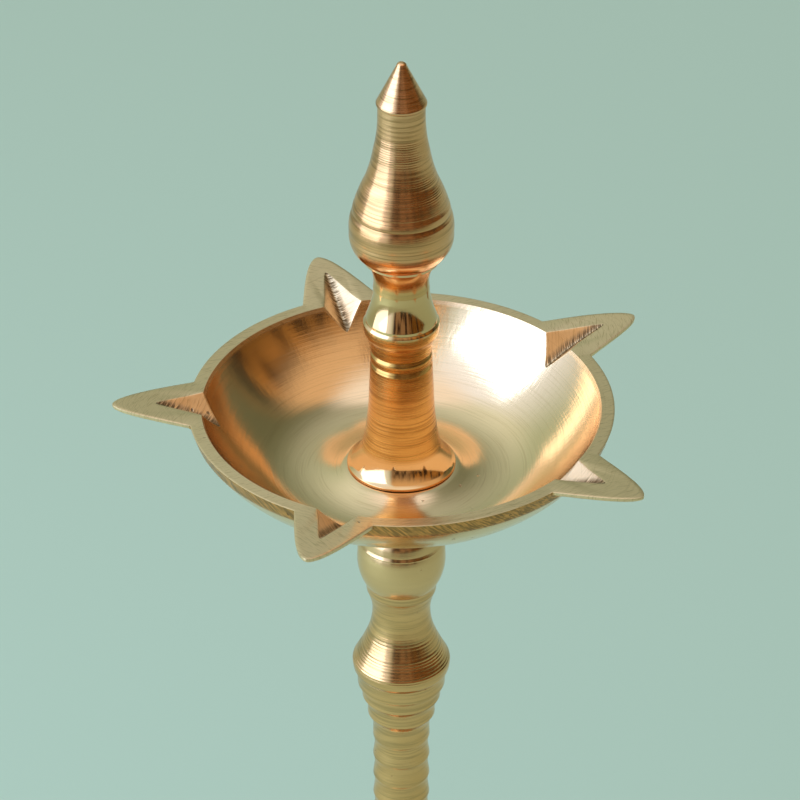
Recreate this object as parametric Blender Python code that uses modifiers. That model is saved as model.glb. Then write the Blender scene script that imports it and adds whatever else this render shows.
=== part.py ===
"""Brass standing oil lamp (samai) with five wick spouts, about 18 inches tall.

The lamp is a stack of turned castings on one upright axis, screwed together by threaded brass
studs: a hollow bell base, a ribbed lower stem, a baluster upper stem, the oil bowl, a slender
column that stands in the bowl, and a pointed kalash finial.

Metres, +Z up. The origin is the centre of the base's underside.
"""
import math

import bmesh
import bpy
from mathutils import Matrix, Vector

MM = 0.001

# Driving heights, in millimetres above the surface that the lamp stands on.
RIM_HEIGHT = 353.0          # rim plane of the oil bowl
BASE_TOP = 88.0             # where the lower stem is screwed on
BASE_RADIUS = 75.0

# Heights in millimetres from the bowl's rim plane.
KALASH_TIP = 99.1
KALASH_FOOT = 43.7
COLUMN_TOP = 43.4
COLUMN_FOOT = -18.0
HUB_TOP = -18.3             # flat in the middle of the bowl, under the column
BOWL_FLOOR = -20.7          # lowest ring of the floor, round the hub
BOWL_UNDERSIDE = -21.3
SEAT_TOP = -21.6
UPPER_STEM_FOOT = -84.6
LOWER_STEM_TOP = -84.9

# The oil bowl.
RIM_OUTER = 55.0
RIM_INNER = 51.6
SPOUT_TURNS = (36.0, 108.0, 180.0, 252.0, 324.0)    # azimuths in degrees; one points to -X
SPOUT_LEANS = (-2.6, 0.0, 1.8, 0.0, -0.4)           # how far each tip bends off its azimuth
NOTCH_REACHES = (66.9, 68.6, 64.6, 65.6, 64.2)      # where each notch runs out on its spout's top
SPOUT_TIP = 74.4                    # reach of a spout's tip from the axis
SPOUT_RISE = 1.5                    # how far the tip stands above the rim plane
SPOUT_ROOT = 52.9                   # buried in the bowl's wall
SPOUT_EDGE = 0.9                    # thickness of a spout's edge
LEAF = ((54.4, 10.3), (60.0, 8.1), (73.9, 3.8), (SPOUT_TIP, 0.0))  # half of a spout's outline
KEEL_DEPTH = 7.0                    # depth of the keel under a spout, at its root
NOTCH_WIDTH = 10.4                  # V notch across the inner rim
NOTCH_DEPTH = 5.5

# Threaded studs, M8.
STUD_RADIUS = 4.0
HOLE_RADIUS = 4.3
STUD_CHAMFER = 0.6
STUD_LENGTH = 26.0
HOLE_DEPTH = 13.6

# Ribs of the lower stem: each band ends below in a sharp lip, and a cove follows it.
RIB_PITCH = 6.75
RIB_LIP = 7.75
RIB_STEP = 0.36             # how far the cove's facet steps in under a lip
PLAIN_RIBS = 9

STEM_SEGMENTS = 22
BASE_SEGMENTS = 32
BOWL_SEGMENTS = 50
ARC_STEP = math.radians(26.0)        # an arc gets a point at least this often
SHARP_ANGLE = math.radians(35.0)


def clear_scene():
    for obj in list(bpy.data.objects):
        bpy.data.objects.remove(obj, do_unlink=True)


def new_collection(name):
    collection = bpy.data.collections.new(name)
    bpy.context.scene.collection.children.link(collection)
    return collection


def brass(name, color, roughness):
    material = bpy.data.materials.new(name)
    material.use_nodes = True
    shader = material.node_tree.nodes["Principled BSDF"]
    shader.inputs["Base Color"].default_value = (*color, 1.0)
    shader.inputs["Metallic"].default_value = 1.0
    shader.inputs["Roughness"].default_value = roughness
    return material


def arc(start, end, bulge):
    """Points of a circular arc after its start; bulge is the rise over half the chord.

    A positive bulge swells away from the axis on a stretch that runs down.
    """
    start, end = Vector(start), Vector(end)
    chord = end - start
    half = chord.length / 2.0
    outward = Vector((-chord.y, chord.x)).normalized()
    rise = bulge * half
    radius = (half * half + rise * rise) / (2.0 * rise)
    centre = (start + end) / 2.0 + outward * (rise - radius)
    spoke = start - centre
    sweep = -4.0 * math.atan(bulge)
    steps = math.ceil(abs(sweep) / ARC_STEP)
    points = []
    for step in range(1, steps + 1):
        turn = Matrix.Rotation(sweep * step / steps, 2)
        points.append(tuple(centre + turn @ spoke))
    return points


def outline(stations):
    """Radius and height pairs; a third value bends the stretch that reaches the station."""
    points = [stations[0]]
    for station in stations[1:]:
        if len(station) == 3:
            points += arc(points[-1], station[:2], station[2])
        else:
            points.append(station)
    return points


def turned(name, stations, datum, segments, material, collection):
    """A lathe-turned solid: its outline, in millimetres from datum, spun about the axis."""
    mesh = bpy.data.meshes.new(name)
    points = outline(stations)
    verts = [(radius * MM, 0.0, height * MM) for radius, height in points]
    edges = [(i, i + 1) for i in range(len(points) - 1)]
    mesh.from_pydata(verts, edges, [])
    obj = bpy.data.objects.new(name, mesh)
    obj.location.z = datum * MM
    collection.objects.link(obj)
    spin = obj.modifiers.new("spin", "SCREW")
    spin.steps = segments
    spin.render_steps = segments
    spin.use_merge_vertices = True
    spin.merge_threshold = 0.00001
    mesh.materials.append(material)
    return obj


def blind_hole_up(top):
    """Start of an outline: a tapped hole sunk from the top face."""
    return [(0.0, top - HOLE_DEPTH), (HOLE_RADIUS, top - HOLE_DEPTH), (HOLE_RADIUS, top)]


def blind_hole_down(bottom):
    """End of an outline: a tapped hole sunk from the bottom face."""
    return [(HOLE_RADIUS, bottom), (HOLE_RADIUS, bottom + HOLE_DEPTH), (0.0, bottom + HOLE_DEPTH)]


def groove(radius, top, depth, height):
    """A lathe groove: a square upper shoulder and a facet that slopes out again below it."""
    return [(radius, top), (radius - depth, top - 0.15), (radius, top - height)]


def kalash_outline():
    return [
        (0.0, KALASH_TIP), (1.3, KALASH_TIP - 0.8, 0.45), (6.35, 88.2), (6.3, 87.7), (5.95, 87.5),
        (6.0, 83.0), (7.1, 75.0, -0.05), (9.2, 67.0, -0.05),
        (11.75, 60.7), (11.45, 60.6), (12.15, 59.4),
        (12.45, 57.9), (12.15, 57.8), (12.75, 56.8),
        (13.2, 52.0, 0.1), (10.3, 44.9, 0.25),
        (9.7, 44.3), (9.7, KALASH_FOOT),
    ] + blind_hole_down(KALASH_FOOT)


def column_outline():
    return blind_hole_up(COLUMN_TOP) + [
        (9.0, COLUMN_TOP), (7.2, 35.5, -0.2), (7.2, 34.0), (9.2, 26.6, -0.06), (9.2, 25.9),
        (9.75, 25.2), (9.7, 23.4), (8.5, 20.7, 0.15), (7.85, 20.3),
    ] + groove(7.9, 17.0, 0.65, 1.3) + groove(8.0, 14.1, 0.65, 1.5) + [
        (8.35, 5.0), (9.1, -5.5, -0.03), (9.75, -10.0, -0.03), (9.9, -10.7),
        (13.3, -16.9, -0.14), (14.1, -17.4), (14.2, COLUMN_FOOT),
    ] + blind_hole_down(COLUMN_FOOT)


def bowl_outline():
    """The bowl's section round its wall, from the central hole: a closed ring.

    Inside, a hub flares down to the floor. Below, a shallow recess drops over the stem's seat.
    """
    bore = HOLE_RADIUS + 0.1
    return [
        (bore, BOWL_UNDERSIDE), (bore, HUB_TOP), (14.7, HUB_TOP), (24.8, BOWL_FLOOR, -0.125),
        (36.5, -17.0, -0.15), (RIM_INNER, 0.0, -0.12), (RIM_OUTER, 0.0), (53.9, -3.6),
        (40.0, -17.1, 0.125), (22.0, -23.6, 0.1), (17.0, -23.9), (16.2, BOWL_UNDERSIDE),
        (bore, BOWL_UNDERSIDE),
    ]


def upper_stem_outline():
    return blind_hole_up(SEAT_TOP) + [
        (15.0, SEAT_TOP), (15.3, -22.4), (14.6, -24.0), (8.6, -31.0, -0.25), (8.6, -32.4),
        (10.6, -33.2), (10.6, -34.6), (8.4, -35.6), (8.3, -37.2),
        (11.1, -41.2, 0.3), (11.65, -46.3, 0.1), (9.75, -55.6, 0.16), (9.45, -56.0), (9.3, -58.2),
        (8.95, -58.9), (8.2, -61.5), (7.75, -64.6, -0.05),
        (8.9, -72.0, -0.08), (12.8, -80.6, -0.04), (13.1, -82.6, 0.2),
        (12.95, -83.9), (12.6, UPPER_STEM_FOOT),
    ] + blind_hole_down(UPPER_STEM_FOOT)


def rib(lip, height, step, next_lip, next_height):
    """One band of the stem, from the lip above it down to just short of its own lip."""
    drop = height - next_height
    return [
        (lip, height), (lip - step, height - 0.2 * drop),
        (min(lip - step, next_lip) - 0.1, height - 0.5 * drop),
    ]


def rib_outline():
    """Ribs below the collar: bands that shrink, then plain bands, then bands that grow."""
    lips = [(11.8, -89.4, 1.05), (10.6, -93.7, 1.1), (9.15, -99.6, 1.0)]
    height = -107.6
    for _ in range(PLAIN_RIBS):
        lips.append((RIB_LIP, height, RIB_STEP))
        height -= RIB_PITCH
    for lip in (8.3, 9.3, 10.6):
        lips.append((lip, height, RIB_STEP))
        height -= 0.9 * RIB_PITCH
    stations = []
    for (lip, top, step), (next_lip, next_top, _) in zip(lips, lips[1:]):
        stations += rib(lip, top, step, next_lip, next_top)
    return stations + [lips[-1][:2]]


def lower_stem_outline():
    foot = BASE_TOP + 0.3 - RIM_HEIGHT
    return blind_hole_up(LOWER_STEM_TOP) + [
        (12.3, LOWER_STEM_TOP), (11.9, -86.5),
    ] + rib_outline() + [
        (10.3, -182.0), (10.5, -184.0), (13.2, -193.2, -0.08),
        (13.2, -195.0, 0.3), (12.8, -195.4), (12.8, -196.6), (12.2, -197.2),
        (8.4, -213.5, -0.12), (8.4, -216.5), (9.6, -217.2), (9.6, -218.6), (9.0, -219.2),
        (9.2, -220.5), (12.6, -231.0, 0.4), (9.0, -241.5, 0.4), (8.8, -243.0),
        (13.6, -258.5, -0.2), (14.4, -260.0, 0.3), (14.4, foot + 0.8), (13.8, foot),
    ] + blind_hole_down(foot)


def base_outline():
    return blind_hole_up(BASE_TOP) + [
        (13.8, BASE_TOP), (14.4, BASE_TOP - 0.8), (14.4, 84.6), (13.6, 83.6), (10.4, 77.5, -0.2),
        (10.6, 75.6), (15.0, 71.0, 0.7), (12.6, 67.6, 0.3), (28.5, 50.5, -0.22), (31.0, 50.0),
        (32.0, 48.2, 0.5), (31.0, 46.4, 0.5), (35.0, 45.6), (56.5, 24.0, 0.26), (57.0, 21.6),
        (62.0, 21.0), (63.0, 19.2, 0.5), (62.0, 17.4, 0.5), (72.0, 8.6, -0.2),
        (BASE_RADIUS, 5.6, 0.4), (BASE_RADIUS, 0.8), (BASE_RADIUS - 0.8, 0.0), (69.0, 0.0),
        (67.5, 6.5), (57.0, 17.6), (53.0, 24.0), (33.0, 42.6, -0.26),
        (24.0, 47.0), (0.0, 50.0),
    ]


def stud_outline():
    half = STUD_LENGTH / 2.0
    return [
        (0.0, half), (STUD_RADIUS - STUD_CHAMFER, half), (STUD_RADIUS, half - STUD_CHAMFER),
        (STUD_RADIUS, STUD_CHAMFER - half), (STUD_RADIUS - STUD_CHAMFER, -half), (0.0, -half),
    ]


def bezier(points, t):
    """A cubic curve in the plane."""
    a, b, c, d = (Vector(point) for point in points)
    s = 1.0 - t
    return a * s ** 3 + b * 3.0 * s * s * t + c * 3.0 * s * t * t + d * t ** 3


def spout_top(reach):
    """Height of a spout's top face, which tilts up from the rim's outer circle."""
    return (reach - RIM_OUTER) * SPOUT_RISE / (SPOUT_TIP - RIM_OUTER)


def spout_section(reach, half_width):
    """Five corners of a spout's section: a flat top, thin edges and a keel below."""
    along = (reach - SPOUT_ROOT) / (SPOUT_TIP - SPOUT_ROOT)
    top = spout_top(reach)
    edge = top - SPOUT_EDGE
    keel = edge - (KEEL_DEPTH - SPOUT_EDGE) * (1.0 - along)
    return [
        (reach, -half_width, top), (reach, half_width, top), (reach, half_width, edge),
        (reach, 0.0, keel), (reach, -half_width, edge),
    ]


def leant(point, lean):
    """A point of a spout, in millimetres, bent off its azimuth in proportion to its reach."""
    reach = math.hypot(point[0], point[1])
    share = max(0.0, (reach - RIM_OUTER) / (SPOUT_TIP - RIM_OUTER))
    return Matrix.Rotation(math.radians(lean) * share, 3, "Z") @ Vector(point)


def add_spout(bm, number):
    """A leaf-shaped spout lofted along its reach, from inside the wall to its round tip."""
    turn = Matrix.Rotation(math.radians(SPOUT_TURNS[number]), 3, "Z")
    stations = [(SPOUT_ROOT, 11.1)]
    stations += [tuple(bezier(LEAF, t)) for t in (0.0, 0.15, 0.32, 0.5, 0.68, 0.82, 0.92, 0.98)]
    rings = []
    for reach, half_width in stations:
        section = spout_section(reach, half_width)
        corners = [turn @ leant(corner, SPOUT_LEANS[number]) * MM for corner in section]
        rings.append([bm.verts.new(corner) for corner in corners])
    for near, far in zip(rings, rings[1:]):
        for i in range(len(near)):
            j = (i + 1) % len(near)
            bm.faces.new((near[i], near[j], far[j], far[i]))
    bm.faces.new(list(reversed(rings[0])))
    bm.faces.new(rings[-1])


def add_notch(bm, number):
    """A wedge that cuts the V notch: a pyramid on its side, pointing outwards."""
    turn = Matrix.Rotation(math.radians(SPOUT_TURNS[number] + 0.4 * SPOUT_LEANS[number]), 3, "Z")
    inner = 44.0
    above = 4.0
    reach = NOTCH_REACHES[number]
    end_height = spout_top(reach)
    slope = (end_height + NOTCH_DEPTH) / (reach - RIM_INNER)
    inner_depth = -NOTCH_DEPTH - (RIM_INNER - inner) * slope
    half_width = (above - inner_depth) * NOTCH_WIDTH / 2.0 / NOTCH_DEPTH
    corners = [
        (inner, 0.0, inner_depth), (inner, half_width, above), (inner, -half_width, above),
        (reach + (above - end_height) / slope, 0.0, above),
    ]
    a, b, c, d = (bm.verts.new(turn @ (Vector(corner) * MM)) for corner in corners)
    for face in ((a, c, b), (a, b, d), (b, c, d), (c, a, d)):
        bm.faces.new(face)


def five_round(name, add_one, collection):
    """The same solid once for each spout, round the bowl's axis, as a cutter."""
    bm = bmesh.new()
    for number in range(len(SPOUT_TURNS)):
        add_one(bm, number)
    bmesh.ops.recalc_face_normals(bm, faces=bm.faces)
    mesh = bpy.data.meshes.new(name)
    bm.to_mesh(mesh)
    bm.free()
    obj = bpy.data.objects.new(name, mesh)
    obj.location.z = RIM_HEIGHT * MM
    obj.hide_render = True
    obj.display_type = "WIRE"
    collection.objects.link(obj)
    return obj


def combine(obj, other, operation):
    modifier = obj.modifiers.new(operation.lower(), "BOOLEAN")
    modifier.operation = operation
    modifier.solver = "EXACT"
    modifier.object = other


def smooth(obj):
    """Smooth shading, with creases where the lathe left a corner."""
    obj.data.shade_smooth()
    obj.data.set_sharp_from_angle(angle=SHARP_ANGLE)


def build():
    clear_scene()
    lamp = new_collection("brass_samai_lamp")
    cutters = new_collection("cutters")

    polished = (0.83, 0.66, 0.38)
    satin = (0.78, 0.61, 0.34)
    turned(
        "base_bell", base_outline(), 0.0, BASE_SEGMENTS, brass("base_brass", satin, 0.3), lamp)
    turned(
        "lower_stem", lower_stem_outline(), RIM_HEIGHT, STEM_SEGMENTS,
        brass("lower_stem_brass", satin, 0.28), lamp)
    turned(
        "upper_stem", upper_stem_outline(), RIM_HEIGHT, STEM_SEGMENTS,
        brass("upper_stem_brass", polished, 0.25), lamp)
    bowl = turned(
        "oil_bowl", bowl_outline(), RIM_HEIGHT, BOWL_SEGMENTS,
        brass("bowl_brass", polished, 0.22), lamp)
    combine(bowl, five_round("spout_blanks", add_spout, cutters), "UNION")
    combine(bowl, five_round("notch_wedges", add_notch, cutters), "DIFFERENCE")
    turned(
        "finial_column", column_outline(), RIM_HEIGHT, STEM_SEGMENTS,
        brass("column_brass", polished, 0.24), lamp)
    turned(
        "kalash", kalash_outline(), RIM_HEIGHT, STEM_SEGMENTS,
        brass("kalash_brass", polished, 0.24), lamp)

    stud_brass = brass("stud_brass", satin, 0.4)
    stud_heights = {
        "base_stud": BASE_TOP + 0.15,
        "stem_stud": RIM_HEIGHT + LOWER_STEM_TOP + 0.15,
        "bowl_stud": RIM_HEIGHT + (COLUMN_FOOT + SEAT_TOP) / 2.0,
        "kalash_stud": RIM_HEIGHT + COLUMN_TOP + 0.15,
    }
    for name, height in stud_heights.items():
        turned(name, stud_outline(), height, STEM_SEGMENTS, stud_brass, lamp)

    for obj in lamp.objects:
        smooth(obj)


build()
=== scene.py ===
"""Looks of the brass standing oil lamp (samai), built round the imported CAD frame.

Every turned piece is spun from an outline of its own that keeps to the frame's shape and adds the
lathe ridges. The oil bowl is one closed mesh with its five filed spouts. Metres, +Z up.
"""
import math

import bmesh
import bpy
import numpy as np
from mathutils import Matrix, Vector


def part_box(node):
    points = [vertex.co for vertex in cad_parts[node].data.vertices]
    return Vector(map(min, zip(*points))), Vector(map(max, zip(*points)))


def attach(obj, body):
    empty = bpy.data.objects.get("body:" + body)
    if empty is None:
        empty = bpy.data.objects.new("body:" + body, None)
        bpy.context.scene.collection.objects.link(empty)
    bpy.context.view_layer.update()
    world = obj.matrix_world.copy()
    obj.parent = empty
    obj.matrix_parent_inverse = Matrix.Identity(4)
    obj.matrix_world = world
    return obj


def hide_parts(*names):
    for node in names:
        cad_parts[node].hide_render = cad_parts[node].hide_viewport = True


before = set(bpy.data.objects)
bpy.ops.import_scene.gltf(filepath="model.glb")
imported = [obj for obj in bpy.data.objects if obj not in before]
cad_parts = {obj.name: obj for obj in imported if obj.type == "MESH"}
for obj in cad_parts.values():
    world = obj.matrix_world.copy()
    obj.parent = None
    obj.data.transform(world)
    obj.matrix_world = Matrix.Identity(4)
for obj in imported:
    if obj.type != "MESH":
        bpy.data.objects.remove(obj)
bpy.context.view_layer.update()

MM = 0.001

# Heights read from the frame.
RIM_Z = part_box("oil_bowl")[0].z + 23.9 * MM     # the rim plane, from the bowl's underside
BASE_TOP_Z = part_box("base_bell")[1].z

SEGMENTS = 96              # round a turned piece
SAMPLE = 0.04 * MM          # spacing of the raw samples along an outline
EASE = 0.07 * MM            # how far every turned corner is eased
TURN_LIMIT = math.radians(7.0)      # an outline keeps a point when it has bent by this much
REACH_LIMIT = 1.6 * MM              # and at least this often
HOLE_RADIUS = 4.3           # of a tapped hole, in millimetres
HOLE_DEPTH = 13.6


# ---------------------------------------------------------------- outlines

def arc(start, end, bulge):
    """Points of a circular arc after its start; bulge is the rise over half the chord.

    A positive bulge swells away from the axis on a stretch that runs down.
    """
    chord = end - start
    half = np.linalg.norm(chord) / 2.0
    outward = np.array([-chord[1], chord[0]]) / (2.0 * half)
    rise = bulge * half
    radius = (half * half + rise * rise) / (2.0 * rise)
    centre = (start + end) / 2.0 + outward * (rise - radius)
    sweep = -4.0 * math.atan(bulge)
    steps = max(2, math.ceil(abs(sweep) / math.radians(2.0)))
    turn = sweep * np.arange(1, steps + 1) / steps
    x, y = start - centre
    return centre + np.stack([x * np.cos(turn) - y * np.sin(turn),
                              x * np.sin(turn) + y * np.cos(turn)], axis=1)


def outline(stations, datum):
    """Stations of radius and height in millimetres; a third value bends the stretch to them."""
    points = [np.array([stations[0][:2]])]
    for station in stations[1:]:
        end = np.array(station[:2], float)
        if len(station) == 3:
            points.append(arc(points[-1][-1], end, station[2]))
        else:
            points.append(end[None])
    return np.vstack(points) * MM + np.array([0.0, datum])


def run_along(path):
    return np.concatenate([[0.0], np.cumsum(np.linalg.norm(np.diff(path, axis=0), axis=1))])


def resampled(path, spacing):
    run = run_along(path)
    steps = np.linspace(0.0, run[-1], max(2, math.ceil(run[-1] / spacing)) + 1)
    return np.stack([np.interp(steps, run, path[:, 0]), np.interp(steps, run, path[:, 1])], axis=1)


def eased(path, width):
    """Rounds every corner of an evenly sampled outline by blurring it along its length."""
    reach = math.ceil(3.0 * width / SAMPLE)
    weights = np.exp(-0.5 * (np.arange(-reach, reach + 1) * SAMPLE / width) ** 2)
    weights /= weights.sum()
    padded = np.vstack([np.repeat(path[:1], reach, 0), path, np.repeat(path[-1:], reach, 0)])
    smooth = np.stack([np.convolve(padded[:, i], weights, "valid") for i in (0, 1)], axis=1)
    smooth[0], smooth[-1] = path[0], path[-1]
    return smooth


def ridged(path, zones):
    """Cuts lathe ridges into stretches of the outside.

    A zone is its top, bottom, pitch and depth in millimetres, with heights from the rim.
    """
    ahead = np.gradient(path, axis=0)
    inward = np.stack([ahead[:, 1], -ahead[:, 0]], axis=1)
    inward /= np.linalg.norm(inward, axis=1, keepdims=True)
    run = run_along(path)
    height = (path[:, 1] - RIM_Z) / MM
    outside = np.arange(len(path)) > np.argmax(height)
    result = path.copy()
    for top, bottom, pitch, depth in zones:
        fade = np.clip(np.minimum(top - height, height - bottom) / pitch, 0.0, 1.0)
        swell = 1.0 + 0.45 * np.sin(run / MM * 0.9) * np.sin(run / MM * 0.37)
        phase = 2.0 * np.pi * run / (pitch * MM) + 0.5 * np.sin(run / MM * 1.7)
        wave = 0.5 - 0.5 * np.cos(phase)
        result += inward * (outside * fade * wave * swell * depth * MM)[:, None]
    return result


def thinned(path):
    """Keeps a point where the outline has bent enough, or run on far enough, since the last."""
    legs = np.diff(path, axis=0)
    lengths = np.linalg.norm(legs, axis=1)
    headings = np.unwrap(np.arctan2(legs[:, 1], legs[:, 0]))
    kept = [0]
    bent = 0.0
    gone = 0.0
    for i in range(1, len(path) - 1):
        bent += abs(headings[i] - headings[i - 1])
        gone += lengths[i - 1]
        if bent > TURN_LIMIT or gone > REACH_LIMIT:
            kept.append(i)
            bent = 0.0
            gone = 0.0
    return path[kept + [len(path) - 1]]


def hole(top):
    """The stations of a tapped hole sunk from a piece's top face."""
    return [(0.0, top - HOLE_DEPTH), (HOLE_RADIUS, top - HOLE_DEPTH), (HOLE_RADIUS, top)]


def hole_below(bottom):
    """The stations of one in its lower face."""
    return [(HOLE_RADIUS, bottom), (HOLE_RADIUS, bottom + HOLE_DEPTH), (0.0, bottom + HOLE_DEPTH)]


def groove(radius, top, depth, height):
    """A lathe groove: a square upper shoulder and a facet that slopes out again below it."""
    return [(radius, top), (radius - depth, top - 0.15), (radius, top - height)]


# ---------------------------------------------------------------- meshes

def grid_faces(rows, columns):
    """Quads of a grid whose last column joins its first; rows run down the outside."""
    faces = []
    for i in range(rows - 1):
        row, below = i * columns, (i + 1) * columns
        for j in range(columns):
            k = (j + 1) % columns
            faces.append((row + j, below + j, below + k, row + k))
    return faces


def mesh_object(name, verts, faces, run, **attributes):
    """A smooth-shaded object whose points know their distance along the outline."""
    mesh = bpy.data.meshes.new(name)
    mesh.from_pydata(verts.tolist(), [], faces)
    for key, values in {"run": run, **attributes}.items():
        if values.ndim == 1:
            mesh.attributes.new(key, "FLOAT", "POINT").data.foreach_set("value", values)
        else:
            layer = mesh.attributes.new(key, "FLOAT_VECTOR", "POINT")
            layer.data.foreach_set("vector", values.ravel())
    mesh.shade_smooth()
    obj = bpy.data.objects.new(name, mesh)
    bpy.context.scene.collection.objects.link(obj)
    return obj


def spun(name, path, coarse, segments=SEGMENTS):
    """Spins an outline that starts and ends on the axis into one closed solid."""
    run = run_along(path)
    inner = path[1:-1]
    angles = np.arange(segments) * 2.0 * np.pi / segments
    verts = np.stack([inner[:, :1] * np.cos(angles), inner[:, :1] * np.sin(angles),
                      np.repeat(inner[:, 1:], segments, axis=1)], axis=-1).reshape(-1, 3)
    start, end = len(verts), len(verts) + 1
    verts = np.vstack([verts, [0.0, 0.0, path[0, 1]], [0.0, 0.0, path[-1, 1]]])
    rows = len(inner)
    faces = grid_faces(rows, segments)
    last = (rows - 1) * segments
    for j in range(segments):
        k = (j + 1) % segments
        faces.append((start, j, k))
        faces.append((end, last + k, last + j))

    def spread(values):
        return np.append(np.repeat(values[1:-1], segments), values[[0, -1]])

    return mesh_object(name, verts, faces, spread(run), coarse=spread(coarse))


# ---------------------------------------------------------------- materials

class Nodes:
    """Short names for the node wiring that every material shares."""

    def __init__(self, name):
        self.material = bpy.data.materials.new(name)
        self.material.use_nodes = True
        self.tree = self.material.node_tree
        self.shader = self.tree.nodes["Principled BSDF"]

    def add(self, kind, inputs=None, **settings):
        node = self.tree.nodes.new(kind)
        for key, value in settings.items():
            setattr(node, key, value)
        for key, value in (inputs or {}).items():
            if isinstance(value, bpy.types.NodeSocket):
                self.tree.links.new(value, node.inputs[key])
            else:
                node.inputs[key].default_value = value
        return node

    def math(self, operation, a, b=0.0, clamp=False):
        node = self.add("ShaderNodeMath", {0: a, 1: b}, operation=operation)
        node.use_clamp = clamp
        return node.outputs[0]

    def noise(self, vector, scale, detail=3.0, roughness=0.5):
        inputs = {"Vector": vector, "Scale": scale, "Detail": detail, "Roughness": roughness}
        return self.add("ShaderNodeTexNoise", inputs).outputs["Fac"]

    def ramp(self, value, low, high):
        """Maps low..high of a value to 0..1, held at the ends."""
        inputs = {"Value": value, "From Min": low, "From Max": high}
        node = self.add("ShaderNodeMapRange", inputs, interpolation_type="SMOOTHSTEP")
        return node.outputs["Result"]

    def mix(self, factor, a, b):
        node = self.add("ShaderNodeMix", data_type="RGBA")
        for key, value in ((0, factor), (6, a), (7, b)):
            if isinstance(value, bpy.types.NodeSocket):
                self.tree.links.new(value, node.inputs[key])
            else:
                node.inputs[key].default_value = value
        return node.outputs[2]

    def bump(self, height, distance, strength=1.0, normal=None):
        inputs = {"Height": height, "Distance": distance, "Strength": strength}
        if normal is not None:
            inputs["Normal"] = normal
        return self.add("ShaderNodeBump", inputs).outputs["Normal"]

    def link(self, value, socket):
        self.tree.links.new(value, self.shader.inputs[socket])


class WorldNodes(Nodes):
    """The same wiring on the world's background."""

    def __init__(self, name):
        world = bpy.data.worlds.new(name)
        bpy.context.scene.world = world
        world.use_nodes = True
        self.tree = world.node_tree
        self.shader = self.tree.nodes["Background"]


BRASS = (0.93, 0.65, 0.37, 1.0)             # the bowl, and half of any polished stretch
BRASS_DEEP = (0.88, 0.55, 0.25, 1.0)        # drifts in the bowl
KALASH_PAINTED_BRASS = (0.90, 0.49, 0.24, 1.0)        # the kalash: a pinker copy of the brass, painted light for its pinkish highlights
BRASS_AMBER = (0.80, 0.37, 0.11, 1.0)       # deep drifts in the kalash and column, set with their painted light; the bowl's filed band
BRASS_WORN = (0.50, 0.31, 0.13, 1.0)        # file marks, and worn rings of the stem and bowl
BRASS_BROWN = (0.42, 0.23, 0.09, 1.0)       # worn rings of the kalash, their brown partly painted reflection of the dark room
COLUMN_SHADED_GOLD = (0.76, 0.42, 0.12, 1.0)        # the column over the bowl: a darker, deeper gold, painted shade and painted amber reflection of the bowl
BRASS_UMBER = (0.36, 0.16, 0.03, 1.0)       # its worn rings, their darkness partly painted shade
STEM_SHADED_BRIGHT = (0.88, 0.50, 0.22, 1.0)       # the stem, base and studs: a darker copy of the brass, painted shade
STEM_SHADED_DEEP = (0.78, 0.40, 0.12, 1.0)         # drifts in them, darker as painted shade too
TARNISH_AND_SHADE = (0.16, 0.095, 0.04, 1.0)          # specks and pits, the darkening deep in each notch, and painted shade in the filed band's scratches

# Brass of a turned piece: bright and deep colour, the colour of its worn rings and their share.
# Each piece has its own set, a copy of the brass tuned as painted light and shade.
KALASH_PAINTED_TONES = (KALASH_PAINTED_BRASS, BRASS_AMBER, BRASS_BROWN, 0.75)
COLUMN_SHADED_TONES = (COLUMN_SHADED_GOLD, BRASS_AMBER, BRASS_UMBER, 0.7)
STEM_SHADED_TONES = (STEM_SHADED_BRIGHT, STEM_SHADED_DEEP, BRASS_WORN, 0.7)


def around_axis(n, place, share):
    """A unit compass vector scaled by share, to make a pattern run round the axis."""
    x, y, _ = n.add("ShaderNodeSeparateXYZ", {0: place}).outputs
    flat = n.add("ShaderNodeCombineXYZ", {0: x, 1: y}).outputs[0]
    unit = n.add("ShaderNodeVectorMath", {0: flat}, operation="NORMALIZE").outputs[0]
    return n.add("ShaderNodeVectorMath", {0: unit, 3: share}, operation="SCALE").outputs[0]


def lathe_lines(n, place, share, scale):
    """Noise drawn out round the axis: it changes along the outline, and only slowly across it."""
    run = n.add("ShaderNodeAttribute", attribute_name="run").outputs["Fac"]
    along = n.add("ShaderNodeCombineXYZ", {2: n.math("MULTIPLY", run, scale)}).outputs[0]
    ring = n.add("ShaderNodeVectorMath", {0: around_axis(n, place, share), 1: along}).outputs[0]
    return n.noise(ring, 1.0, 3.0, 0.6)


def brushed_round(n, amount):
    """Spreads the gloss along the outline, across the lines that the lathe left."""
    tangent = n.add("ShaderNodeTangent", direction_type="RADIAL", axis="Z").outputs[0]
    n.link(tangent, "Tangent")
    n.shader.inputs["Anisotropic"].default_value = amount
    n.shader.inputs["Anisotropic Rotation"].default_value = 0.25


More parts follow.
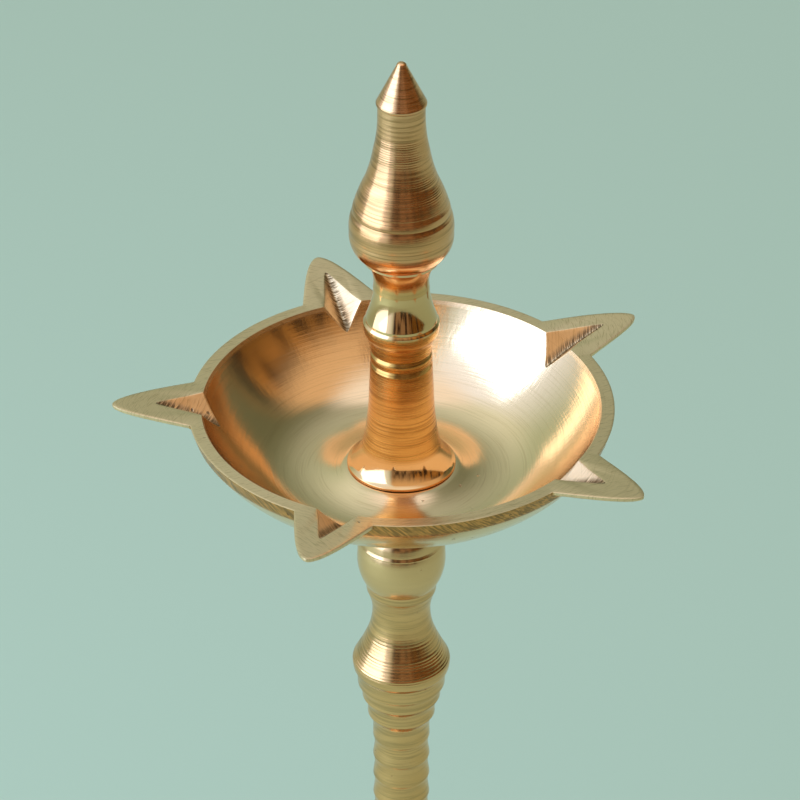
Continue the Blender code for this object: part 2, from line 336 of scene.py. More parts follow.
def turned_brass(name, tones, polished, coarse, line_depth, brushed=0.6):
    """Lathe-turned brass, coarse where its points say so: lines, colour drift, specks and pits."""
    # A piece's tones carry its painted light and shade, not only the colour of its brass.
    bright, deep, worn, worn_share = tones
    n = Nodes(name)
    place = n.add("ShaderNodeTexCoord").outputs["Object"]
    rough_zone = n.add("ShaderNodeAttribute", attribute_name="coarse").outputs["Fac"]
    fine = lathe_lines(n, place, 0.5, 2900.0)
    middle = lathe_lines(n, place, 0.35, 1700.0)
    broad = lathe_lines(n, place, 0.3, 800.0)
    drift = n.noise(place, 38.0, 3.0, 0.55)
    specks = n.noise(place, 520.0, 2.0, 0.5)
    patch = n.noise(place, 16.0, 2.0, 0.5)

    body = n.mix(n.math("MULTIPLY", n.ramp(drift, 0.3, 0.75), 0.5), bright, deep)
    ringed = n.math("MAXIMUM", n.ramp(broad, 0.50, 0.72), n.ramp(middle, 0.50, 0.66))
    dull = n.math("MULTIPLY", ringed, n.math("MULTIPLY", rough_zone, worn_share))
    brighter = n.math("MULTIPLY", n.math("SUBTRACT", 1.0, rough_zone), 0.5)
    body = n.mix(brighter, n.mix(dull, body, worn), BRASS)
    stain = n.math("MULTIPLY", n.ramp(specks, 0.70, 0.78), n.ramp(patch, 0.5, 0.64))
    # Real specks and stains: the dark tone here is tarnish, not shade.
    color = n.mix(n.math("MULTIPLY", stain, 0.65), body, TARNISH_AND_SHADE)
    n.link(color, "Base Color")
    rough = n.math("ADD", n.math("MULTIPLY", rough_zone, coarse - polished), polished)
    rough = n.math("ADD", rough, n.math("MULTIPLY", n.math("SUBTRACT", fine, 0.5), 0.12))
    n.link(n.math("ADD", rough, n.math("MULTIPLY", stain, 0.25)), "Roughness")
    n.shader.inputs["Metallic"].default_value = 1.0
    brushed_round(n, brushed)
    lines = n.math("ADD", n.math("MULTIPLY", fine, 0.3), n.math("MULTIPLY", broad, 0.7))
    lines = n.math("MULTIPLY", lines, n.math("ADD", n.math("MULTIPLY", rough_zone, 0.95), 0.05))
    height = n.math("SUBTRACT", lines, n.math("MULTIPLY", stain, 0.6))
    n.link(n.bump(height, line_depth), "Normal")
    return n.material


def file_lines(n, place, angle, along, across):
    """Noise drawn out into file strokes at an angle, in the plane of the rim."""
    turned = n.add("ShaderNodeVectorRotate", {"Vector": place, "Angle": angle},
                   rotation_type="Z_AXIS").outputs[0]
    stretched = n.add("ShaderNodeVectorMath", {0: turned, 1: (along, across, 40.0)},
                      operation="MULTIPLY").outputs[0]
    return n.noise(stretched, 1.0, 3.0, 0.6)


def blend(n, factor, a, b):
    """A plain number between a and b."""
    return n.add("ShaderNodeMix", {0: factor, 2: a, 3: b}).outputs[0]


def bowl_brass(name):
    """The bowl: turned inside, filed on the rim's top, the spouts and the outer band."""
    n = Nodes(name)
    place = n.add("ShaderNodeTexCoord").outputs["Object"]
    filed, grime, banded, nearby = (
        n.add("ShaderNodeAttribute", attribute_name=key).outputs["Fac"]
        for key in ("filed", "grime", "banded", "nearby"))
    stroke = n.add("ShaderNodeAttribute", attribute_name="stroke").outputs["Vector"]
    fine = lathe_lines(n, place, 1.6, 2600.0)
    broad = lathe_lines(n, place, 0.8, 700.0)
    x, y, _ = n.add("ShaderNodeSeparateXYZ", {0: place}).outputs
    reach = n.math("POWER", n.math("ADD", n.math("MULTIPLY", x, x), n.math("MULTIPLY", y, y)), 0.5)
    streaks = n.math("MULTIPLY", lathe_lines(n, place, 38.0, 260.0), n.ramp(reach, 0.033, 0.042))
    turned_lines = n.math("ADD", n.math("MULTIPLY", fine, 0.35), n.math("MULTIPLY", broad, 0.4))
    turned_lines = n.math("ADD", turned_lines, n.math("MULTIPLY", streaks, 0.4))
    on_spout = n.math("MAXIMUM", file_lines(n, stroke, -1.2, 260.0, 3600.0),
                      file_lines(n, stroke, -0.95, 190.0, 2400.0))
    on_rim = n.math("MAXIMUM", file_lines(n, place, -0.6, 260.0, 3600.0),
                    file_lines(n, place, -0.3, 190.0, 2400.0))
    flats = blend(n, nearby, on_rim, on_spout)
    angled = n.add("ShaderNodeVectorRotate", {"Vector": place, "Angle": 0.75},
                   rotation_type="Y_AXIS").outputs[0]
    hatched = n.add("ShaderNodeVectorMath", {0: angled, 1: (2600.0, 500.0, 220.0)},
                    operation="MULTIPLY").outputs[0]
    scratches = blend(n, banded, flats, n.noise(hatched, 1.0, 3.0, 0.65))
    lines = blend(n, filed, turned_lines, scratches)

    drift = n.noise(place, 30.0, 3.0, 0.55)
    patch = n.noise(place, 13.0, 2.0, 0.5)
    pits = n.noise(place, 420.0, 1.0, 0.4)
    pit = n.math("MULTIPLY", n.ramp(pits, 0.735, 0.77), n.ramp(patch, 0.5, 0.6))
    body = n.mix(n.math("MULTIPLY", n.ramp(drift, 0.35, 0.75), 0.2), BRASS, BRASS_DEEP)
    body = n.mix(n.math("MULTIPLY", n.ramp(fine, 0.52, 0.68), 0.22), body, BRASS_WORN)
    scored = n.math("MULTIPLY", n.ramp(scratches, 0.54, 0.70), n.math("MULTIPLY", filed, 0.55))
    body = n.mix(scored, body, BRASS_WORN)
    # Painted shade: the outer filed band is darkened along the low parts of its hatched scratches.
    band_painted_shade = n.math("MULTIPLY", n.math("MULTIPLY", banded, n.ramp(scratches, 0.62, 0.40)), 0.7)
    body = n.mix(band_painted_shade, n.mix(banded, body, BRASS_AMBER), TARNISH_AND_SHADE)
    # Darker towards the bottom of each notch, broken up by the scratch noise; pits darken on their
    # own.
    notch_dark = n.math("MULTIPLY", n.ramp(grime, 0.05, 0.85), n.ramp(scratches, 0.40, 0.60))
    pits_and_notch_dark = n.math("MAXIMUM", n.math("MULTIPLY", pit, 0.85), n.math("MULTIPLY", notch_dark, 0.95))
    n.link(n.mix(pits_and_notch_dark, body, TARNISH_AND_SHADE), "Base Color")
    rough = n.math("ADD", n.math("MULTIPLY", filed, 0.16), 0.15)
    rough = n.math("ADD", rough, n.math("MULTIPLY", n.math("SUBTRACT", fine, 0.5), 0.10))
    n.link(n.math("ADD", rough, n.math("MULTIPLY", pits_and_notch_dark, 0.3)), "Roughness")
    n.shader.inputs["Metallic"].default_value = 1.0
    brushed_round(n, 0.5)
    height = n.math("SUBTRACT", lines, n.math("MULTIPLY", pit, 1.6))
    n.link(n.bump(height, 0.06 * MM), "Normal")
    return n.material


# ---------------------------------------------------------------- turned pieces

def place_piece(piece, body, node, material):
    piece.data.materials.append(material)
    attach(piece, body)
    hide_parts(node)


def turned_piece(name, body, node, material, stations, datum=RIM_Z, zones=(), polished=()):
    """Spins one piece; a polished stretch is its top, bottom and how coarse it still is."""
    path = thinned(ridged(eased(resampled(outline(stations, datum), SAMPLE), EASE), zones))
    height = (path[:, 1] - datum) / MM
    coarse = np.ones(len(path))
    for top, bottom, left in polished:
        coarse[(height < top) & (height > bottom)] = left
    place_piece(spun(name, path, coarse), body, node, material)


def kalash():
    tip, foot = 99.1, 43.7
    stations = [
        (0.0, tip), (1.3, tip - 0.8, 0.45), (6.35, 88.2), (6.3, 87.7), (5.95, 87.5),
        (6.0, 83.0), (7.1, 75.0, -0.05), (9.2, 67.0, -0.05), (11.75, 60.7, 0.03),
        (11.45, 60.6), (12.15, 59.4), (12.45, 57.9, 0.02), (12.15, 57.8), (12.75, 56.8),
        (13.2, 52.0, 0.1), (10.3, 44.9, 0.25), (9.7, 44.4), (9.7, foot),
    ] + hole_below(foot)
    zones = [(98.3, 88.5, 0.5, 0.016), (87.3, 60.9, 0.6, 0.026), (56.6, 46.0, 0.5, 0.012)]
    brass = turned_brass("kalash_turned", KALASH_PAINTED_TONES, polished=0.12, coarse=0.24,
                         line_depth=0.05 * MM)
    turned_piece("kalash_finial", "kalash", "kalash", brass, stations,
                 zones=zones, polished=[(48.0, 43.7, 0.0)])


def column():
    top, foot = 43.4, -18.0
    stations = hole(top) + [
        (9.0, top), (7.2, 35.5, -0.2), (7.2, 34.0), (9.2, 26.6, -0.06), (9.2, 25.9),
        (9.75, 25.2), (9.7, 23.4), (8.5, 20.7, 0.15), (7.85, 20.3),
    ] + groove(7.9, 17.0, 0.65, 1.3) + groove(8.0, 14.1, 0.65, 1.5) + [
        (8.35, 5.0), (9.1, -5.5, -0.03), (9.75, -10.0, -0.03), (9.9, -10.7),
        (13.3, -16.9, -0.14), (14.1, -17.4), (14.2, foot),
    ] + hole_below(foot)
    zones = [(43.0, 35.0, 0.5, 0.014), (24.8, 20.8, 0.5, 0.012), (12.4, -10.4, 0.6, 0.022)]
    brass = turned_brass("column_turned", COLUMN_SHADED_TONES, polished=0.09, coarse=0.26,
                         line_depth=0.08 * MM)
    turned_piece("column_turning", "column", "finial_column", brass, stations,
                 zones=zones, polished=[(43.4, 35.5, 0.5), (35.5, 25.0, 0.0), (-12.6, -18.0, 0.0)])


def upper_stem():
    top, foot = -21.6, -84.6
    stations = hole(top) + [
        (15.0, top), (15.3, -22.4), (14.6, -24.0), (8.6, -31.0, -0.25), (8.6, -32.4),
        (10.6, -33.2), (10.6, -34.6), (8.4, -35.6), (8.3, -37.0),
        (10.7, -40.3, 0.25), (11.05, -41.6), (10.85, -41.75), (11.3, -42.7), (11.1, -42.85),
        (11.65, -46.3, 0.1), (9.75, -55.6, 0.16), (9.45, -56.0), (9.3, -58.2),
        (8.95, -58.9), (8.2, -61.5), (7.75, -64.6, -0.05),
        (8.9, -72.0, -0.08), (12.8, -80.6, -0.04), (13.1, -82.6, 0.2), (12.95, -83.9), (12.6, foot),
    ] + hole_below(foot)
    zones = [(-59.2, -71.0, 0.5, 0.01), (-71.0, -82.7, 0.9, 0.05)]
    brass = turned_brass("upper_stem_turned", STEM_SHADED_TONES, polished=0.18, coarse=0.22,
                         line_depth=0.06 * MM, brushed=0.4)
    turned_piece("upper_stem_turning", "upper_stem", "upper_stem", brass, stations,
                 zones=zones, polished=[(-37.2, -56.0, 0.3)])


RIB_PITCH = 6.75
RIB_LIP = 7.75
RIB_STEP = 0.36
PLAIN_RIBS = 9


def ribs():
    """Bands that end in a sharp lip with a cove under it: shrinking, plain, then growing."""
    lips = [(11.8, -89.4, 1.05), (10.6, -93.7, 1.1), (9.15, -99.6, 1.0)]
    height = -107.6
    for _ in range(PLAIN_RIBS):
        lips.append((RIB_LIP, height, RIB_STEP))
        height -= RIB_PITCH
    for lip in (8.3, 9.3, 10.6):
        lips.append((lip, height, RIB_STEP))
        height -= 0.9 * RIB_PITCH
    stations = []
    for (lip, top, step), (next_lip, next_top, _) in zip(lips, lips[1:]):
        drop = top - next_top
        stations += [(lip, top), (lip - step, top - 0.2 * drop, -0.08),
                     (min(lip - step, next_lip) - 0.1, top - 0.5 * drop, -0.03)]
    return stations + [lips[-1][:2]]


def lower_stem():
    top = -84.9
    foot = (BASE_TOP_Z - RIM_Z) / MM + 0.3
    stations = hole(top) + [(12.3, top), (11.9, -86.5)] + ribs() + [
        (10.3, -182.0), (10.5, -184.0), (13.2, -193.2, -0.08),
        (13.2, -195.0, 0.3), (12.8, -195.4), (12.8, -196.6), (12.2, -197.2),
        (8.4, -213.5, -0.12), (8.4, -216.5), (9.6, -217.2), (9.6, -218.6), (9.0, -219.2),
        (9.2, -220.5), (12.6, -231.0, 0.4), (9.0, -241.5, 0.4), (8.8, -243.0),
        (13.6, -258.5, -0.2), (14.4, -260.0, 0.3), (14.4, foot + 0.8), (13.8, foot),
    ] + hole_below(foot)
    brass = turned_brass("lower_stem_turned", STEM_SHADED_TONES, polished=0.16, coarse=0.20,
                         line_depth=0.06 * MM, brushed=0.4)
    turned_piece("ribbed_stem_turning", "lower_stem", "lower_stem", brass, stations)


def base():
    top = BASE_TOP_Z / MM
    stations = hole(top) + [
        (13.8, top), (14.4, top - 0.8), (14.4, 84.6), (13.6, 83.6), (10.4, 77.5, -0.2),
        (10.6, 75.6), (15.0, 71.0, 0.7), (12.6, 67.6, 0.3), (28.5, 50.5, -0.22), (31.0, 50.0),
        (32.0, 48.2, 0.5), (31.0, 46.4, 0.5), (35.0, 45.6), (56.5, 24.0, 0.26), (57.0, 21.6),
        (62.0, 21.0), (63.0, 19.2, 0.5), (62.0, 17.4, 0.5), (72.0, 8.6, -0.2),
        (75.0, 5.6, 0.4), (75.0, 0.8), (74.2, 0.0), (69.0, 0.0),
        (67.5, 6.5), (57.0, 17.6), (53.0, 24.0), (33.0, 42.6, -0.26), (24.0, 47.0), (0.0, 50.0),
    ]
    brass = turned_brass("base_turned", STEM_SHADED_TONES, polished=0.16, coarse=0.28,
                         line_depth=0.06 * MM)
    turned_piece("bell_base_turning", "base", "base_bell", brass, stations,
                 datum=0.0)


# ---------------------------------------------------------------- threaded studs

THREAD_PITCH = 1.25 * MM
THREAD_DEPTH = 0.62 * MM
THREAD_ROWS = 10.0          # rows of points to a turn of the thread
THREAD_FLANK = 2.5          # steepness of its flanks; over 2 leaves the root flat
STUD_CHAMFER = 0.8 * MM
STUD_SEGMENTS = 48


def stud(name, body, node, material):
    """A threaded rod: a right-hand helical ridge that fades out at both chamfered ends."""
    low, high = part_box(node)
    radius = (high.x - low.x) / 2.0
    segments = STUD_SEGMENTS
    rings = math.ceil((high.z - low.z) / THREAD_PITCH * THREAD_ROWS)
    heights = np.linspace(low.z, high.z, rings + 1)
    angles = np.arange(segments) * 2.0 * np.pi / segments
    from_end = np.minimum(heights - low.z, high.z - heights)[:, None]
    phase = (heights[:, None] / THREAD_PITCH - angles / (2.0 * np.pi)) % 1.0
    groove = np.clip(THREAD_FLANK * (0.5 - np.abs(phase - 0.5)), 0.0, 1.0)
    r = radius - THREAD_DEPTH * groove
    r = np.minimum(r, radius - STUD_CHAMFER + from_end)
    verts = np.stack([r * np.cos(angles), r * np.sin(angles),
                      np.repeat(heights[:, None], segments, axis=1)], axis=-1).reshape(-1, 3)
    faces = [face[::-1] for face in grid_faces(rings + 1, segments)]
    faces.append(tuple(range(segments))[::-1])
    faces.append(tuple(rings * segments + j for j in range(segments)))
    piece = mesh_object(name, verts, faces, np.repeat(heights, segments),
                        coarse=np.ones(len(verts)))
    piece.data.set_sharp_from_angle(angle=math.radians(50.0))
    place_piece(piece, body, node, material)


def studs():
    material = turned_brass("stud_cut", STEM_SHADED_TONES, polished=0.2, coarse=0.34,
                            line_depth=0.05 * MM)
    for node in ("base_stud", "stem_stud", "bowl_stud", "kalash_stud"):
        stud(node + "_thread", node, node, material)


# ---------------------------------------------------------------- the oil bowl

SPOUT_TURNS = (36.0, 108.0, 180.0, 252.0, 324.0)    # azimuths in degrees
SPOUT_LEANS = (-2.6, 0.0, 1.8, 0.0, -0.4)           # how far each tip bends off its azimuth
NOTCH_REACHES = (66.9, 68.6, 64.6, 65.6, 64.2)      # where each notch runs out, in millimetres
RIM_OUTER = 55.0 * MM
RIM_INNER = 51.6 * MM
TIP = 74.4 * MM
TIP_RISE = 1.5 * MM
SPOUT_EDGE = 0.9 * MM
KEEL_DEPTH = 7.0 * MM
KEEL_ROOT = 52.9 * MM
NOTCH_HALF = 5.2 * MM
NOTCH_DEPTH = 5.5 * MM
NOTCH_FLAT = 0.55 * MM      # half the width of the rounded bottom of a V notch
LEAF = np.array([(54.02, 10.35), (60.0, 8.1), (73.9, 3.8), (74.4, 0.0)]) * MM
BOWL_EDGE = 0.2 * MM        # rounding of the bowl's filed edges


def spout_top(reach):
    """A spout's top tilts up from the rim's outer circle."""
    return np.maximum(reach - RIM_OUTER, 0.0) * TIP_RISE / (TIP - RIM_OUTER)


def notch_floor(x, y, notch_reach):
    """Height of the V notch's two facets over a point, from the rim plane."""
    end = spout_top(notch_reach)
    valley = -NOTCH_DEPTH + (x - RIM_INNER) * (end + NOTCH_DEPTH) / (notch_reach - RIM_INNER)
    return valley + np.hypot(y, NOTCH_FLAT) * NOTCH_DEPTH / NOTCH_HALF


def leaf_point(t):
    a, b, c, d = LEAF
    s = 1.0 - t
    return a * s ** 3 + b * 3 * s * s * t + c * 3 * s * t * t + d * t ** 3


LEAF_CURVE = np.array([leaf_point(t) for t in np.linspace(0.0, 1.0, 400)])
LEAF_ANGLE = np.arctan2(LEAF_CURVE[:, 1], LEAF_CURVE[:, 0])[::-1]
LEAF_REACH = np.linalg.norm(LEAF_CURVE, axis=1)[::-1]


def half_width(x):
    """Half of a spout's width at a reach x from the axis."""
    return np.interp(x, LEAF_CURVE[:, 0], LEAF_CURVE[:, 1])


def spout_under(x, y):
    """Height of a spout's keeled underside, from the rim plane."""
    along = (x - KEEL_ROOT) / (TIP - KEEL_ROOT)
    edge = spout_top(x) - SPOUT_EDGE
    keel = edge - (KEEL_DEPTH - SPOUT_EDGE) * (1.0 - along)
    share = np.clip(np.abs(y) / np.maximum(half_width(x), 0.2 * MM), 0.0, 1.0)
    return keel + (edge - keel) * share


INNER_WALL = [
    (4.4, -18.3), (14.5, -18.3), (14.9, -18.4, 0.2), (24.8, -20.7, -0.125),
    (36.5, -17.0, -0.15), (51.6, 0.0, -0.12),
]
OUTER_WALL = [
    (55.0, 0.0), (53.9, -3.6), (40.0, -17.1, 0.125), (22.0, -23.6, 0.1), (17.0, -23.9),
    (16.2, -21.3), (4.4, -21.3),
]
NOTCH_DARK_REACH = 1.7 * MM      # how far the darkening in a notch reaches up from its bottom
FILED_BAND = 4.6 * MM       # how far down its outside the wall is filed
ROOT_DROP = 10.0 * MM       # the outer wall below this run is the same all round
WALL_CUT = 9.0 * MM         # the inner wall above this run from its top gives way to a notch
RIM_DROP = 1.36 * MM        # the rim's outer edge reaches this far down between the spouts
DENSE_DROP = 3.3 * MM       # the outer wall has its first few points above this run

# A section's corners are joined by a chain of points: so many on each line, and two on each corner.
CHAIN_COUNTS = (2, 6, 8, 2, 10, 2)
NOTCH_FIRST, NOTCH_END = 3, 12      # places in the chain that the notch's facet takes up
AFTER_RIM_EDGE = 22                 # the first place beyond the rim's outer edge
AFTER_LOW_EDGE = 26                 # and the first beyond the lower edge of a spout


def crossing(run, gap):
    """The first run at which a gap that starts positive falls to zero, or the start."""
    below = np.nonzero(gap <= 0.0)[0]
    if len(below) == 0 or below[0] == 0:
        return run[0]
    i = below[0]
    share = gap[i - 1] / (gap[i - 1] - gap[i])
    return run[i - 1] + share * (run[i] - run[i - 1])


def between(a, b, count):
    """Points on the straight line after a, up to but not counting b."""
    share = np.linspace(0.0, 1.0, count + 1)[:-1, None]
    return a + (b - a) * share


def eased_corners(corners, counts, radius):
    """A chain of corners with each inner one cut back and curved, and its lines subdivided."""
    points = [corners[0]]
    chain = []
    for i in range(1, len(corners) - 1):
        before, after = corners[i - 1] - corners[i], corners[i + 1] - corners[i]
        cut = [np.linalg.norm(leg) for leg in (before, after)]
        a = corners[i] + before * min(0.45, radius / max(cut[0], 1e-9))
        b = corners[i] + after * min(0.45, radius / max(cut[1], 1e-9))
        chain += list(between(points[-1], a, counts[i - 1]))
        chain += [a, 0.25 * a + 0.5 * corners[i] + 0.25 * b]
        points.append(b)
    chain += list(between(points[-1], corners[-1], counts[-1]))
    return chain


class Wall:
    """One side of the bowl's section, sampled evenly from its rim end."""

    def __init__(self, stations, from_top):
        path = eased(resampled(outline(stations, 0.0), 0.1 * MM), EASE)
        self.path = path if from_top else path[::-1]
        self.run = run_along(self.path)

    def point(self, where):
        """The point, or points, at a distance along the wall."""
        return np.stack([np.interp(where, self.run, self.path[:, i]) for i in (0, 1)], axis=-1)


def spout_section(inner, outer, azimuth, notch_reach):
    """The closed section of the bowl in a half plane at an azimuth from a spout's centre line."""
    c, s = math.cos(azimuth), abs(math.sin(azimuth))

    notch_gap = inner.path[:, 1] - notch_floor(inner.path[:, 0] * c, inner.path[:, 0] * s,
                                                notch_reach)
    in_run = crossing(inner.run, notch_gap)
    wall_top = inner.point(in_run)

    reach = np.linspace(RIM_INNER, TIP, 600)
    top_gap = spout_top(reach * c) - notch_floor(reach * c, reach * s, notch_reach)
    notch_end = crossing(reach, top_gap)
    out = RIM_OUTER
    if abs(azimuth) < LEAF_ANGLE[-1]:
        out = np.interp(abs(azimuth), LEAF_ANGLE, LEAF_REACH)
    on_spout = out > RIM_OUTER + 1e-6
    flat_start = max(notch_end, wall_top[0])
    notch_edge = np.array([flat_start, spout_top(flat_start * c)])
    rim_edge = np.array([out, spout_top(out * c)])

    if on_spout:
        low_edge = rim_edge - np.array([0.0, SPOUT_EDGE])
        under_gap = outer.path[:, 1] - spout_under(outer.path[:, 0] * c, outer.path[:, 0] * s)
        out_run = crossing(outer.run, under_gap)
    else:
        out_run = RIM_DROP
        low_edge = outer.point(out_run)
    root = outer.point(out_run)

    up_wall = np.concatenate([
        np.linspace(inner.run[-1], WALL_CUT, 34)[:-1], np.linspace(WALL_CUT, in_run, 12)[:-1]])
    down_wall = np.concatenate([
        np.linspace(out_run, max(out_run, DENSE_DROP), 5),
        np.linspace(max(out_run, DENSE_DROP), ROOT_DROP, 14)[1:],
        np.linspace(ROOT_DROP, outer.run[-1], 26)[1:]])
    rise = inner.point(up_wall)
    fall = outer.point(down_wall)
    corners = [rise[-1], wall_top, notch_edge, rim_edge, low_edge, root, fall[1]]
    chain = np.array(eased_corners(corners, CHAIN_COUNTS, BOWL_EDGE))
    section = np.vstack([rise[:-1], chain, fall[1:]])
    filed = np.concatenate([np.zeros(len(rise) - 1), np.ones(len(chain)),
                            (down_wall[1:] < FILED_BAND) * 1.0])
    start = len(rise) - 1
    grime = np.zeros(len(section))
    notch = slice(start + NOTCH_FIRST, start + NOTCH_END)
    bottom = notch_floor(section[notch, 0] * c, 0.0, notch_reach)
    grime[notch] = np.clip(1.0 - (section[notch, 1] - bottom) / NOTCH_DARK_REACH, 0.0, 1.0)
    band_first = start + (AFTER_LOW_EDGE if on_spout else AFTER_RIM_EDGE)
    banded = filed * (np.arange(len(section)) >= band_first)
    return section, filed, grime, banded


def azimuths():
    """Azimuths of half a spout's share, close together where the leaf and the notch are."""
    leaf = np.array([leaf_point(t) for t in 1.0 - np.linspace(0.0, 1.0, 44) ** 1.25])
    spout = np.arctan2(leaf[:, 1], leaf[:, 0])
    plain = np.linspace(spout[-1], math.pi / len(SPOUT_TURNS), 16)[1:]
    return np.concatenate([spout, plain])


def oil_bowl():
    inner, outer = Wall(INNER_WALL, from_top=False), Wall(OUTER_WALL, from_top=True)
    half = azimuths()
    share = np.concatenate([-half[:0:-1], half[:-1]])
    columns = []
    for first, lean, notch_reach in zip(SPOUT_TURNS, SPOUT_LEANS, NOTCH_REACHES):
        for azimuth in share:
            section, *marks = spout_section(inner, outer, azimuth, notch_reach * MM)
            bend = np.clip((section[:, 0] - RIM_OUTER) / (TIP - RIM_OUTER), 0.0, 1.0)
            turn = math.radians(first) + azimuth + math.radians(lean) * bend
            points = np.stack([section[:, 0] * np.cos(turn), section[:, 0] * np.sin(turn),
                               section[:, 1] + RIM_Z], axis=1)
            side, along = math.sin(azimuth), math.cos(azimuth)
            stroke = np.stack([section[:, 0] * along, section[:, 0] * side,
                               np.full(len(section), first)], axis=1)
            nearby = np.full(len(section), np.clip(1.6 - abs(azimuth) / 0.16, 0.0, 1.0))
            columns.append((points, run_along(section), stroke, nearby, *marks))
    points, run, stroke, nearby, filed, grime, banded = (
        np.stack(values, axis=1) for values in zip(*columns))
    rows, total = run.shape
    faces = grid_faces(rows, total)
    last = (rows - 1) * total
    for j in range(total):
        k = (j + 1) % total
        faces.append((last + j, j, k, last + k))
    piece = mesh_object("oil_bowl_cast", points.reshape(-1, 3), faces, run.ravel(),
                        filed=filed.ravel(), grime=grime.ravel(), banded=banded.ravel(),
                        nearby=nearby.ravel(), stroke=stroke.reshape(-1, 3))
    weld(piece)
    piece.data.set_sharp_from_angle(angle=math.radians(42.0))
    place_piece(piece, "bowl", "oil_bowl", bowl_brass("bowl_turned"))


def weld(piece):
    """Joins the points that a collapsed part of the grid leaves on each other."""
    bm = bmesh.new()
    bm.from_mesh(piece.data)
    bmesh.ops.remove_doubles(bm, verts=bm.verts, dist=0.004 * MM)
    bmesh.ops.dissolve_degenerate(bm, dist=0.002 * MM, edges=bm.edges)
    bmesh.ops.recalc_face_normals(bm, faces=bm.faces)
    bm.to_mesh(piece.data)
    bm.free()


# ---------------------------------------------------------------- studio

ELEVATION = math.radians(33.3)
DISTANCE = 0.935            # from the middle of the rim
LENS = 163.2
AIM_LEFT = 0.36 * MM        # the rim's middle stands this far right of the picture's middle
AIM_UP = 0.90 * MM          # and this far below it
TABLE_FRONT = 2.2           # from the lamp to the front edge of the table
TABLE_HALF = 15.0
TABLE_DROP = 0.0002         # keeps the table clear of the base
SOFTBOX_COLOR = (0.72, 0.97, 1.45)          # daylight, bluer than the room
FLOOR_COLOR = (0.51, 0.65, 0.47, 1.0)
WALL_LIT = (0.80, 0.98, 1.02, 1.0)          # pale green wall behind and left, high, near the light
WALL_LOW = (0.44, 0.60, 0.52, 1.0)          # the same wall lower down
WALL_FAR = (0.13, 0.16, 0.11, 1.0)          # and on the right
ROOM_FRONT = (0.27, 0.20, 0.14, 1.0)        # the unlit room behind the camera
ROOM_DARK = (0.035, 0.022, 0.014, 1.0)      # and the dark things in it
ROOM_RIGHT = (0.15, 0.08, 0.022, 1.0)       # the unlit room on the right, low down
ROOM_SIDE = (0.36, 0.19, 0.06, 1.0)         # the same side, higher up
ROOM_UPPER = (0.74, 0.56, 0.38, 1.0)        # warm wall over the unlit room
CEILING = (1.0, 1.06, 1.22, 1.0)
BACKDROP = (0.42, 0.57, 0.49, 1.0)          # plain paper, where the camera sees past the floor
GLOW = (0.98, 1.22, 1.75, 1.0)              # wall beside the softbox


def camera():
    data = bpy.data.cameras.new("camera")
    data.lens = LENS
    data.sensor_width = 36.0
    data.clip_start, data.clip_end = 0.05, 50.0
    obj = bpy.data.objects.new("camera", data)
    bpy.context.scene.collection.objects.link(obj)
    rim = Vector((0.0, 0.0, RIM_Z))
    back = Vector((0.0, -math.cos(ELEVATION), math.sin(ELEVATION)))
    up = Vector((0.0, math.sin(ELEVATION), math.cos(ELEVATION)))
    obj.location = rim + back * DISTANCE
    target = rim + up * AIM_UP + Vector((-AIM_LEFT, 0.0, 0.0))
    obj.rotation_euler = (target - obj.location).to_track_quat("-Z", "Y").to_euler()
    bpy.context.scene.camera = obj


def softbox(azimuth, elevation, distance, width, height, power):
    """A rectangular soft light that faces the bowl, placed by its direction from it."""
    data = bpy.data.lights.new("softbox", "AREA")
    data.shape = "RECTANGLE"
    data.size, data.size_y = width, height
    data.energy = power
    data.color = SOFTBOX_COLOR
    azimuth, elevation = math.radians(azimuth), math.radians(elevation)
    away = Vector((math.sin(azimuth) * math.cos(elevation),
                   -math.cos(azimuth) * math.cos(elevation), math.sin(elevation)))
    obj = bpy.data.objects.new("softbox", data)
    obj.visible_camera = False
    obj.location = Vector((0.0, 0.0, RIM_Z)) + away * distance
    obj.rotation_euler = away.to_track_quat("Z", "Y").to_euler()
    bpy.context.scene.collection.objects.link(obj)


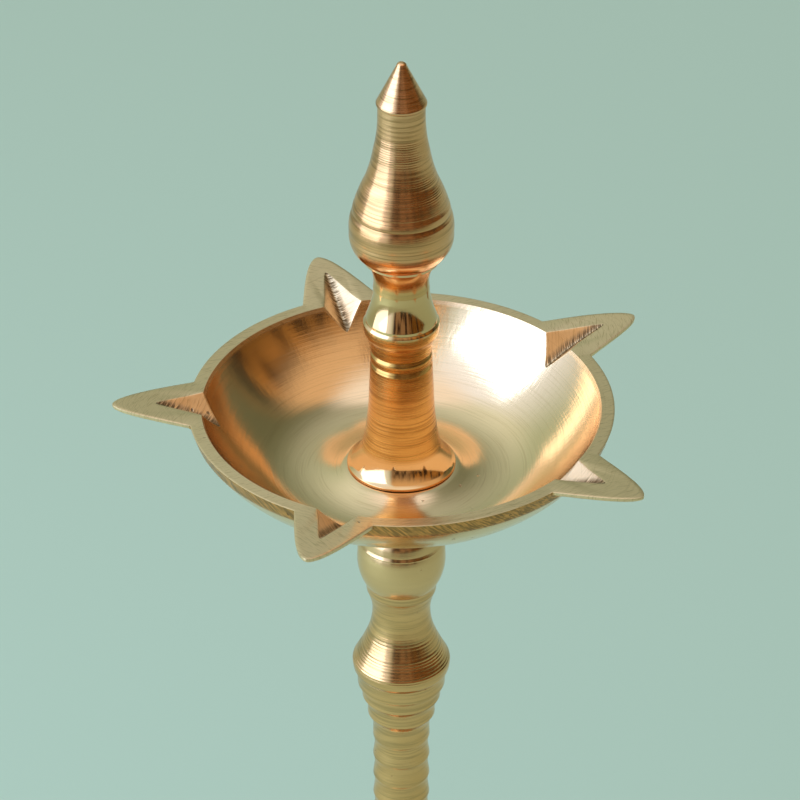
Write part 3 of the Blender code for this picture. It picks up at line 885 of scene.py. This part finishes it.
def floor():
    """A pale table top that ends in front of the lamp, where the room begins."""
    middle = (0.0, TABLE_HALF - TABLE_FRONT, -TABLE_DROP)
    bpy.ops.mesh.primitive_plane_add(size=2.0 * TABLE_HALF, location=middle)
    plane = bpy.context.object
    plane.name = "floor"
    n = Nodes("pale_paper")
    n.shader.inputs["Base Color"].default_value = FLOOR_COLOR
    n.shader.inputs["Roughness"].default_value = 0.9
    plane.data.materials.append(n.material)


def room():
    """The room that the brass mirrors, painted by compass direction on the world."""
    n = WorldNodes("room")
    way = n.add("ShaderNodeTexCoord").outputs["Generated"]
    x, y, z = n.add("ShaderNodeSeparateXYZ", {0: way}).outputs
    bearing = n.math("ARCTAN2", x, n.math("MULTIPLY", y, -1.0))
    azimuth = n.math("MULTIPLY", bearing, 180.0 / math.pi)
    elevation = n.math("MULTIPLY", n.math("ARCSINE", z), 180.0 / math.pi)

    lit = n.mix(n.ramp(elevation, 20.0, 55.0), WALL_LOW, WALL_LIT)
    wall = n.mix(n.ramp(x, 0.72, -0.58), WALL_FAR, lit)
    clutter = n.add("ShaderNodeCombineXYZ", {0: n.math("MULTIPLY", azimuth, 0.11),
                                             1: n.math("MULTIPLY", elevation, 0.035)}).outputs[0]
    right = n.mix(n.ramp(elevation, 8.0, 30.0), ROOM_RIGHT, ROOM_SIDE)
    dark = n.mix(n.ramp(azimuth, 12.0, 38.0), ROOM_FRONT, right)
    dark = n.mix(n.ramp(n.noise(clutter, 1.0, 2.0, 0.5), 0.46, 0.58), dark, ROOM_DARK)
    dark = n.mix(n.ramp(elevation, 28.0, 50.0), dark, ROOM_UPPER)
    ahead = n.math("MULTIPLY", n.ramp(azimuth, -33.0, -22.0), n.ramp(azimuth, 128.0, 100.0))
    color = n.mix(ahead, wall, dark)
    beside = n.math("MULTIPLY", n.ramp(azimuth, -138.0, -88.0), n.ramp(azimuth, -20.0, -46.0))
    color = n.mix(beside, color, GLOW)
    color = n.mix(n.ramp(elevation, 58.0, 74.0), color, CEILING)
    seen = n.add("ShaderNodeLightPath").outputs["Is Camera Ray"]
    n.tree.links.new(n.mix(seen, color, BACKDROP), n.shader.inputs["Color"])


def studio():
    bpy.context.scene.view_settings.view_transform = "Standard"
    camera()
    floor()
    room()
    softbox(azimuth=-72.0, elevation=21.0, distance=1.05, width=1.05, height=1.3, power=8.0)


studio()
oil_bowl()
kalash()
column()
upper_stem()
lower_stem()
base()
studs()
